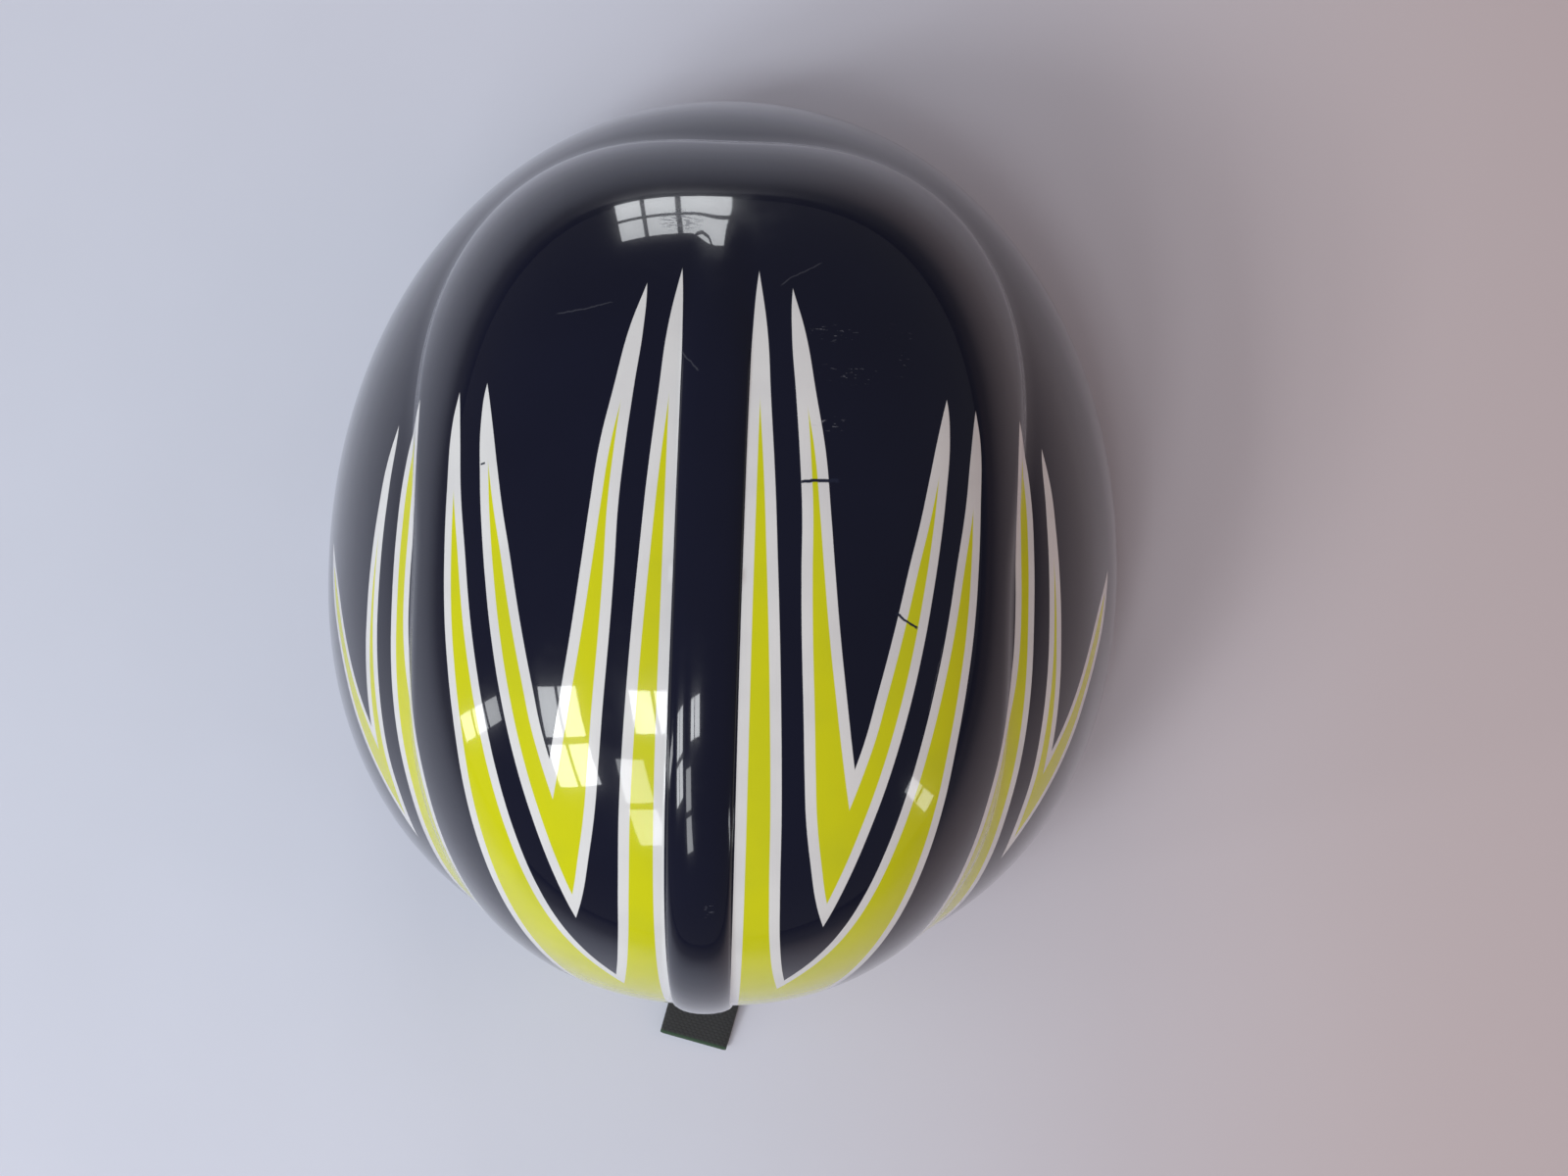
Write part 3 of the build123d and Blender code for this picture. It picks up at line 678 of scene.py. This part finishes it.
socket_turn, plug_turn = 21.0, 47.6
left_path = rounded_path([(strap_x, strap_y + strap_end), bend, on_leg(socket_turn, 0)],
                         [bend_radius], 1.0)
left_path += turn_back(socket_turn, 1)[1:] + [on_leg(8.0, -2 * web_layer)]
right_path = rounded_path([(-strap_x, strap_y + strap_end), (-bend[0], bend[1]),
                           (-corner[0], corner[1]), tuple(corner), on_leg(plug_turn, 0)],
                          [bend_radius, chin_radius, chin_radius], 1.0)
right_path += turn_back(plug_turn, -1)[1:] + [on_leg(86.0, -2 * web_layer)]
tape("strap_left", level_path(left_path, strap_z), (0, 0, 1), web_width, web_thick,
     "chin_strap", strap_web, ["chin_strap_left"])
long_strap = tape("strap_right", level_path(right_path, strap_z), (0, 0, 1), web_width, web_thick,
                  None, strap_web, ["chin_strap_right"])
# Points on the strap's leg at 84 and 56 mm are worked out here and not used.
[(on_leg(run, 0)[0] * mm, on_leg(run, 0)[1] * mm, strap_z * mm) for run in (84.0, 56.0)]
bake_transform(long_strap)

# --- rear tab --------------------------------------------------------------------------------
tab_width, tab_thick, tab_length, tab_droop, tab_skew = 20.0, 1.8, 24.0, 10.0, 14.0
tab_z = 6.0
fold_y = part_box("rear_tab")[0].y / mm + tab_thick / 2
root_low, root_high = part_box("rear_tab_root")
hang_y = root_low.y / mm + tab_thick / 2
tab_path = rounded_path([(hang_y, root_high.z / mm), (hang_y, tab_z), (fold_y, tab_z)], [2.5], 0.6)
droop = radians(tab_droop)
tab_path += [(fold_y + tab_length * cos(droop) * s, tab_z - tab_length * sin(droop) * s)
             for s in (0.25, 0.5, 0.75, 1.0)]
tab_run = sum(hypot(q[0] - p[0], q[1] - p[1]) for p, q in zip(tab_path, tab_path[1:]))


def skewed(spots):
    """The free part of the tab, turned a little towards the wearer's left."""
    past = spots[:, 1] - fold_y
    turn = radians(tab_skew) * np.clip(past / 8, 0, 1) ** 1.5
    past = np.maximum(past, 0)
    sag = 0.25 * np.sin(past / 24 * pi) * (spots[:, 0] / 10) ** 2
    made = spots + np.stack([past * np.sin(turn), -spots[:, 0] * np.sin(turn), sag], 1)
    return made


tab_web = webbing("tab_web", (0.036, 0.036, 0.037), tab_run)
tab = tape("rear_tab_web", [(0, y, z) for y, z in tab_path], (1, 0, 0), tab_width, tab_thick,
           None, tab_web, ["rear_tab_root", "rear_tab"], skewed)
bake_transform(tab)

# --- cushions ----------------------------------------------------------------------------------
head_space, head_waist = (80.0, 98.5, 89.0), 30.0
end_pad_z, side_pad_z = 54.0, 56.0
pad_stand, pad_full, pad_seam, seam_run, stitch_in = 1.7, 5.5, 2.4, 9.0, 3.4
swell, air_pressure, air_steps = 0.8, 4.0, 20


def in_layer(side, u, v, depth):
    """A point of a pad: its place in the pad's plane, and how deep into the head space."""
    a, b, c = (size - pad_stand - depth for size in head_space)
    if side in ("brow", "rear"):
        z = end_pad_z + v
        y = b * np.sqrt(1 - (u / a) ** 2 - ((z - head_waist) / c) ** 2)
        return np.stack([u, shell_y + (y if side == "rear" else -y), z], -1)
    if side in ("left", "right"):
        z = side_pad_z + v
        x = a * np.sqrt(1 - (u / b) ** 2 - ((z - head_waist) / c) ** 2)
        return np.stack([x if side == "left" else -x, shell_y + u, z], -1)
    return np.stack([v, shell_y + u, head_waist + c * np.sqrt(1 - (v / a) ** 2 - (u / b) ** 2)], -1)


def pad_outline(long, wide, corner, count):
    """Points evenly round a rounded rectangle, and where each lands on its middle line."""
    steps = np.linspace(0, pi / 2, 40)
    quarter = [(long - corner + corner * cos(t), wide - corner + corner * sin(t)) for t in steps]
    ring = np.array([(long, 0)] + quarter + [(0, wide)])
    left = ring[::-1][1:] * (-1, 1)
    ring = np.concatenate([ring, left, (ring * (-1, -1))[1:], (left * (-1, -1))[:-1]])
    steps = np.diff(np.vstack([ring, ring[:1]]), axis=0)
    run = np.concatenate([[0], np.cumsum(np.hypot(*steps.T))])
    marks = np.linspace(0, run[-1], count, endpoint=False)
    ring = np.stack([np.interp(marks, run, np.append(ring[:, k], ring[0, k])) for k in (0, 1)], 1)
    middle = np.stack([np.clip(ring[:, 0], wide - long, long - wide), np.zeros(count)], 1)
    return ring, middle


def swollen(made, held):
    """Air pressure fills the cushion while its back and seam are held."""
    group = made.vertex_groups.new(name="held")
    before = np.array([v.co[:] for v in made.data.vertices])
    group.add([k for k, spot in enumerate(before) if held(spot / mm)], 1.0, "REPLACE")
    cloth = made.modifiers.new("air", "CLOTH")
    cloth.settings.quality, cloth.settings.mass = 4, 0.2
    cloth.settings.use_pressure = True
    cloth.settings.uniform_pressure_force = air_pressure
    cloth.settings.effector_weights.gravity = 0.0
    cloth.settings.vertex_group_mass = "held"
    cloth.collision_settings.use_collision = False
    for step in range(air_steps):
        bpy.context.scene.frame_set(step + 1)
    filled = made.evaluated_get(bpy.context.evaluated_depsgraph_get()).data
    moved = np.array([v.co[:] for v in filled.vertices]) - before
    length = np.linalg.norm(moved, axis=1, keepdims=True)
    moved *= np.minimum(1, swell * mm / np.maximum(length, 1e-9))
    made.modifiers.remove(cloth)
    made.vertex_groups.remove(group)
    made.data.vertices.foreach_set("co", (before + moved).ravel())
    made.data.update()
    bpy.context.scene.frame_set(1)


def finer(made):
    """One level of subdivision."""
    rounder = made.modifiers.new("rounder", "SUBSURF")
    rounder.levels = rounder.render_levels = 1


def cushion(node, side, long, wide, corner, seed):
    """A sewn pad, crowned towards the head, with a bound edge."""
    count = 220
    ring, middle = pad_outline(long, wide, corner, count)
    run = np.arange(count) / count
    rng = np.random.default_rng(seed)
    pucker = sum(np.sin(2 * pi * (n * run + rng.random())) for n in (31, 44, 57)) / 3

    def row(inset, depth):
        spot = ring + (middle - ring) * inset / wide
        return in_layer(side, spot[:, 0], spot[:, 1], depth)

    insets = np.array([0, 0.4, 0.9, 1.5, 2.1, 2.6, 3.0, 3.4, 3.8, 4.3, 4.9, 5.7, 6.8, 8.2, 10, 12])
    insets = np.concatenate([insets[insets < wide - 1.5], np.arange(15, wide - 1.5, 3.5), [wide]])
    rows = []
    for inset in insets[::-1]:
        crown = np.sqrt(1 - (1 - min(inset / seam_run, 1)) ** 2)
        sewn = np.exp(-((inset - stitch_in) / 0.8) ** 2) * 0.55
        wave = pucker * 0.28 * min(inset, 1.5) * np.exp(-inset / 4) * (inset < wide)
        full = pad_full - swell - 0.2 - pad_seam
        rows.append(row(inset, pad_seam + full * crown - sewn + wave))
    for inset in insets[1:]:
        rows.append(row(inset, pad_seam * (1 - np.sqrt(1 - (1 - min(inset / 4, 1)) ** 2)) + 0.05))
    faces = loops_to_faces(len(rows), count)
    made = piece(node + "_cushion", np.concatenate(rows), faces, None, pad_fabric,
                 stands_for=[node])
    held = pad_held(side)
    swollen(made, held)
    finer(made)
    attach(made, "helmet")
    edge = row(0, pad_seam)
    round_edge(node + "_binding", edge, 1.0)
    depth = pad_seam + (pad_full - swell - pad_seam) * np.sqrt(1 - (1 - stitch_in / seam_run) ** 2)
    return made, row(stitch_in, depth)


def pad_held(side):
    """Tells the back and the seam of a pad from its crowned face."""
    def held(spot):
        x, y, z = spot[0], spot[1] - shell_y, max(spot[2] - head_waist, 0)
        low, high = 0.0, 12.0
        for _ in range(20):
            depth = (low + high) / 2
            a, b, c = (size - pad_stand - depth for size in head_space)
            if (x / a) ** 2 + (y / b) ** 2 + (z / c) ** 2 > 1:
                high = depth
            else:
                low = depth
        return depth < pad_seam + 0.3
    return held


def round_edge(name, ring, radius):
    """A bound edge: a soft tube that runs round the pad's seam."""
    ahead = np.roll(ring, -1, 0) - np.roll(ring, 1, 0)
    ahead /= np.linalg.norm(ahead, axis=1, keepdims=True)
    out = np.cross(ahead, ring - [0, shell_y, 40.0])
    out /= np.linalg.norm(out, axis=1, keepdims=True)
    up = np.cross(ahead, out)
    rows = np.array([ring + radius * (out * cos(t) + up * sin(t))
                     for t in np.linspace(0, 2 * pi, 9)[:-1]])
    count = len(ring)
    faces = loops_to_faces(len(rows), count, wrap=True)
    piece(name, rows.reshape(-1, 3), faces, "helmet", pad_binding)


def stitch_nodes(finish):
    """Node group that sets one thread stitch after another along a line."""
    group = bpy.data.node_groups.new("stitch_run", "GeometryNodeTree")
    face = group.interface
    face.new_socket("Line", in_out="INPUT", socket_type="NodeSocketGeometry")
    for name, value in (("Pitch", 0.003), ("Length", 0.0022), ("Thickness", 0.0005)):
        socket = face.new_socket(name, in_out="INPUT", socket_type="NodeSocketFloat")
        socket.default_value = value
    face.new_socket("Seed", in_out="INPUT", socket_type="NodeSocketInt")
    face.new_socket("Stitches", in_out="OUTPUT", socket_type="NodeSocketGeometry")
    nodes, join = group.nodes, group.links.new
    given, result = nodes.new("NodeGroupInput"), nodes.new("NodeGroupOutput")
    curve = nodes.new("GeometryNodeMeshToCurve")
    spots = nodes.new("GeometryNodeCurveToPoints")
    spots.mode = "LENGTH"
    ball = nodes.new("GeometryNodeMeshUVSphere")
    ball.inputs["Segments"].default_value = 8
    ball.inputs["Rings"].default_value = 5
    ball.inputs["Radius"].default_value = 0.5
    size = nodes.new("ShaderNodeCombineXYZ")
    vary = nodes.new("FunctionNodeRandomValue")
    vary.inputs[2].default_value, vary.inputs[3].default_value = 0.9, 1.1
    scaled = nodes.new("ShaderNodeVectorMath")
    scaled.operation = "SCALE"
    put = nodes.new("GeometryNodeInstanceOnPoints")
    real = nodes.new("GeometryNodeRealizeInstances")
    dressed = nodes.new("GeometryNodeSetMaterial")
    dressed.inputs["Material"].default_value = finish
    join(given.outputs["Line"], curve.inputs["Mesh"])
    join(curve.outputs["Curve"], spots.inputs["Curve"])
    join(given.outputs["Pitch"], spots.inputs["Length"])
    join(given.outputs["Thickness"], size.inputs["X"])
    join(given.outputs["Thickness"], size.inputs["Y"])
    join(given.outputs["Length"], size.inputs["Z"])
    join(given.outputs["Seed"], vary.inputs["Seed"])
    join(size.outputs[0], scaled.inputs[0])
    join(vary.outputs[1], scaled.inputs["Scale"])
    join(spots.outputs["Points"], put.inputs["Points"])
    join(spots.outputs["Rotation"], put.inputs["Rotation"])
    join(ball.outputs["Mesh"], put.inputs["Instance"])
    join(scaled.outputs[0], put.inputs["Scale"])
    join(put.outputs[0], real.inputs[0])
    join(real.outputs[0], dressed.inputs["Geometry"])
    join(dressed.outputs[0], result.inputs["Stitches"])
    return group


stitch_group = stitch_nodes(thread)


def stitches(name, lines, body, pitch=3.0, long=2.2, thick=0.5, seed=1):
    """Rows of stitches along lines of points."""
    spots, edges = [], []
    for line, closed in lines:
        start = len(spots)
        spots += [tuple(np.asarray(p) * mm) for p in line]
        edges += [(start + k, start + k + 1) for k in range(len(line) - 1)]
        if closed:
            edges.append((len(spots) - 1, start))
    mesh = bpy.data.meshes.new(name + "_lines")
    mesh.from_pydata(spots, edges, [])
    line = bpy.data.objects.new(name + "_lines", mesh)
    bpy.context.scene.collection.objects.link(line)
    run = line.modifiers.new("stitches", "NODES")
    run.node_group = stitch_group
    values = {"Pitch": pitch * mm, "Length": long * mm, "Thickness": thick * mm, "Seed": seed}
    for item in stitch_group.interface.items_tree:
        if item.item_type == "SOCKET" and item.in_out == "INPUT" and item.name in values:
            run[item.identifier] = values[item.name]
    ready = line.evaluated_get(bpy.context.evaluated_depsgraph_get())
    made = bpy.data.objects.new(name, bpy.data.meshes.new_from_object(ready))
    bpy.context.scene.collection.objects.link(made)
    bpy.data.objects.remove(line)
    made.data.shade_smooth()
    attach(made, body)


def onto(made, line, lift=0.12):
    """A line of points moved onto the surface of a piece."""
    depsgraph = bpy.context.evaluated_depsgraph_get()
    placed = []
    for spot in line:
        _, place, normal, _ = made.closest_point_on_mesh(Vector(spot) * mm, depsgraph=depsgraph)
        placed.append(np.array(place + normal * lift * mm) / mm)
    return placed


pad_lines = []
for seed, (node, side, long, wide, corner) in enumerate((
        ("brow_pad", "brow", 52.0, 15.0, 12.0), ("rear_pad", "rear", 52.0, 15.0, 12.0),
        ("side_pad_left", "left", 48.0, 18.0, 12.0), ("side_pad_right", "right", 48.0, 18.0, 12.0),
        ("crown_pad", "crown", 56.0, 29.0, 26.0))):
    made, line = cushion(node, side, long, wide, corner, seed + 3)
    pad_lines.append((onto(made, line), True))
stitches("pad_stitches", pad_lines, "helmet")


def chin_sleeve():
    """Padded sleeve over the chin run of the strap."""
    half, thick, wide, count = 20.0, 4.0, 14.5, 72
    slot_thick, slot_wide = 1.05, 9.3
    middle = np.array([0, strap_y - chin_reach, strap_z])
    turn = np.linspace(0, 2 * pi, count, endpoint=False)
    rows = []
    for x in half * np.sin(np.linspace(-pi / 2, pi / 2, 30)):
        pinch = 1 - 0.5 * abs(x / half) ** 9
        crease = 1 - 0.05 * (1 - min(abs(x) / 3, 1)) ** 2
        h, w = (thick - 0.3) * pinch * crease, wide * (1 - 0.03 * abs(x / half) ** 9)
        y = h * np.sign(np.cos(turn)) * np.abs(np.cos(turn)) ** 0.62
        z = w * np.sign(np.sin(turn)) * np.abs(np.sin(turn)) ** 0.55
        rows.append(np.stack([np.full(count, x), y, z], 1) + middle)
    for x in np.linspace(half - 0.3, 0.3 - half, 12):
        y = slot_thick * np.sign(np.cos(turn)) * np.abs(np.cos(turn)) ** 0.25
        z = slot_wide * np.sign(np.sin(turn)) * np.abs(np.sin(turn)) ** 0.25
        rows.append(np.stack([np.full(count, x), y, z], 1) + middle)
    faces = loops_to_faces(len(rows), count, wrap=True)
    made = piece("chin_cushion", np.concatenate(rows), faces, None, pad_fabric,
                 stands_for=["chin_pad"])
    swollen(made, lambda p: abs(p[0]) > half - 1.5 or
            (abs(p[1] - middle[1]) < slot_thick + 0.2 and abs(p[2] - middle[2]) < slot_wide + 0.2))
    finer(made)
    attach(made, "pad_sleeve")
    lines = []
    for way in (-1, 1):
        for z in (-11.3, 11.3):
            line = [(x, middle[1] + way * thick, middle[2] + z)
                    for x in np.linspace(-17.5, 17.5, 30)]
            lines.append((onto(made, line), False))
    stitches("chin_stitches", lines, "pad_sleeve")


chin_sleeve()

# Sewn ends of the webbing.
sewn = []
for out in (web_thick / 2 + 0.05, -2 * web_layer - web_thick / 2 - 0.05):
    for z in np.linspace(-6.5, 6.5, 4):
        sewn.append(([(*on_leg(run, out), strap_z + z) for run in (8.8, 13.0, 17.4)], False))
stitches("strap_stitches", sewn, "chin_strap", 2.4, 1.8, 0.45, 5)
hems = [([(*on_leg(83.4, -2 * web_layer + side * (web_thick / 2 + 0.05)), strap_z + z)
          for z in np.linspace(-7.5, 7.5, 6)], False) for side in (-1, 1)]
stitches("tail_stitches", hems, "chin_strap", 1.6, 1.3, 0.45, 6)

# --- CAD pieces that keep their shape --------------------------------------------------------
for node, finish in {
    "eps_liner": foam_black, "hook_dots": hook_black, "strap_rivets": rivet_steel,
    "rivet_spacers": buckle_plastic, "strap_eyelets": eyelet_brass, "buckle_socket": buckle_plastic,
    "buckle_plug": buckle_plastic, "release_prong_upper": buckle_plastic,
    "release_prong_lower": buckle_plastic, "tail_keeper": keeper_rubber,
    "tab_plate": buckle_plastic, "tab_pin": buckle_plastic,
}.items():
    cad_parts[node].data.materials.clear()
    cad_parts[node].data.materials.append(finish)

# --- floor, light and camera -----------------------------------------------------------------
# Distances over which the floor is painted dark: a painted shade for the dim room around it.
floor_shade_near, floor_shade_far, floor_half = 0.30, 0.85, 3.0


def floor():
    finish = Finish("pale_floor")
    soft = finish.noise(14.0, 4.0)
    x, y, _ = finish.axes(finish.place)
    # Painted shade: the floor turns dark grey between these two distances from the middle, standing
    # in for the dim room around it.
    away = ((x * x + y * y) ** 0.5).step(floor_shade_near, floor_shade_far)
    colour = finish.mix(soft, (0.70, 0.712, 0.80, 1), (0.74, 0.752, 0.85, 1))
    # Painted shade with a warm tint of light: the floor is coloured darker and warmer towards -X,
    # away from the main light.
    colour = finish.mix(x.step(0.06, -0.26), colour, (0.64, 0.54, 0.545, 1))
    colour = finish.mix(away, colour, (0.22, 0.21, 0.215, 1))
    material = finish.surface(base_color=colour, roughness=0.9)
    mesh = bpy.data.meshes.new("floor")
    corners = [(floor_half * x, floor_half * y, 0) for x, y in ((-1, -1), (1, -1), (1, 1), (-1, 1))]
    mesh.from_pydata(corners, [], [(0, 1, 2, 3)])
    mesh.materials.append(material)
    made = bpy.data.objects.new("floor", mesh)
    bpy.context.scene.collection.objects.link(made)


def soft_light(name, place, aim, size, power, colour, turn=0.0, panes=(1, 1), mirrored=True):
    """An area light, or a window of several panes."""
    way = (Vector(aim) - Vector(place)).to_track_quat("-Z", "Y")
    way = way @ Quaternion((0, 0, 1), radians(turn))
    pane = [size[k] / panes[k] for k in (0, 1)]
    bar = 0.86 if panes != (1, 1) else 1.0
    for column in range(panes[0]):
        for row in range(panes[1]):
            light = bpy.data.lights.new(name, "AREA")
            light.shape, light.size, light.size_y = "RECTANGLE", pane[0] * bar, pane[1] * bar
            light.energy, light.color = power / (panes[0] * panes[1]), colour
            made = bpy.data.objects.new(name, light)
            off = ((column + 0.5) * pane[0] - size[0] / 2, (row + 0.5) * pane[1] - size[1] / 2, 0)
            made.location = Vector(place) + way @ Vector(off)
            made.rotation_euler = way.to_euler()
            made.visible_camera, made.visible_glossy = False, mirrored
            bpy.context.scene.collection.objects.link(made)


floor()
cool = (0.94, 0.97, 1.0)
for name, place, aim, size, power, turn, panes in (
        ("brow_window", (0.234, -1.27, 0.25), (0.01, -0.08, 0.13), (0.42, 0.44), 4.0, 0, (3, 2)),
        ("side_window", (0.877, 0.683, 1.20), (0.03, 0.02, 0.14), (0.42, 0.60), 8.0, 64, (2, 2)),
        ("side_pane", (0.27, 0.495, 1.55), (0.01, 0.02, 0.14), (0.30, 0.26), 2.6, 36, (2, 1)),
        ("rear_pane", (0.367, 1.02, 1.23), (0.01, 0.06, 0.14), (0.22, 0.70), 2.4, 30, (1, 2)),
        ("tall_window", (1.22, 0.47, 0.36), (0.05, 0.05, 0.13), (0.12, 0.55), 1.3, 0, (1, 3)),
        ("far_window", (-1.15, 0.75, 0.30), (-0.05, 0.05, 0.13), (0.10, 0.40), 0.5, 0, (1, 2))):
    soft_light(name, place, aim, size, power, cool, turn, panes)
for name, place, aim, size, power, colour in (
        ("room_bounce", (1.1, 0.5, 1.7), (0, 0, 0.1), (2.4, 2.4), 13.0, (0.84, 0.93, 1.0)),
        ("room_fill", (-0.9, 0.3, 1.7), (0, 0, 0.1), (2.4, 2.4), 1.8, (1.0, 0.82, 0.78)),
        ("warm_side", (-1.2, -0.1, 0.55), (-0.05, 0, 0.1), (0.8, 0.7), 1.5, (1.0, 0.46, 0.30))):
    soft_light(name, place, aim, size, power, colour, mirrored=False)

world = bpy.data.worlds.new("room")
world.use_nodes = True
world.node_tree.nodes["Background"].inputs["Color"].default_value = (0.78, 0.77, 0.82, 1)
world.node_tree.nodes["Background"].inputs["Strength"].default_value = 0.20
bpy.context.scene.world = world
bpy.context.scene.view_settings.view_transform = "Standard"

camera_data = bpy.data.cameras.new("above")
camera_data.lens, camera_data.sensor_width = 40.0, 36.0
camera = bpy.data.objects.new("above", camera_data)
camera_spot, camera_roll = (-16.6, shell_y + 10.5, 526.0), 182.1
camera.location = Vector(camera_spot) * mm
camera.rotation_euler = (0, 0, radians(camera_roll))
bpy.context.scene.collection.objects.link(camera)
bpy.context.scene.camera = camera
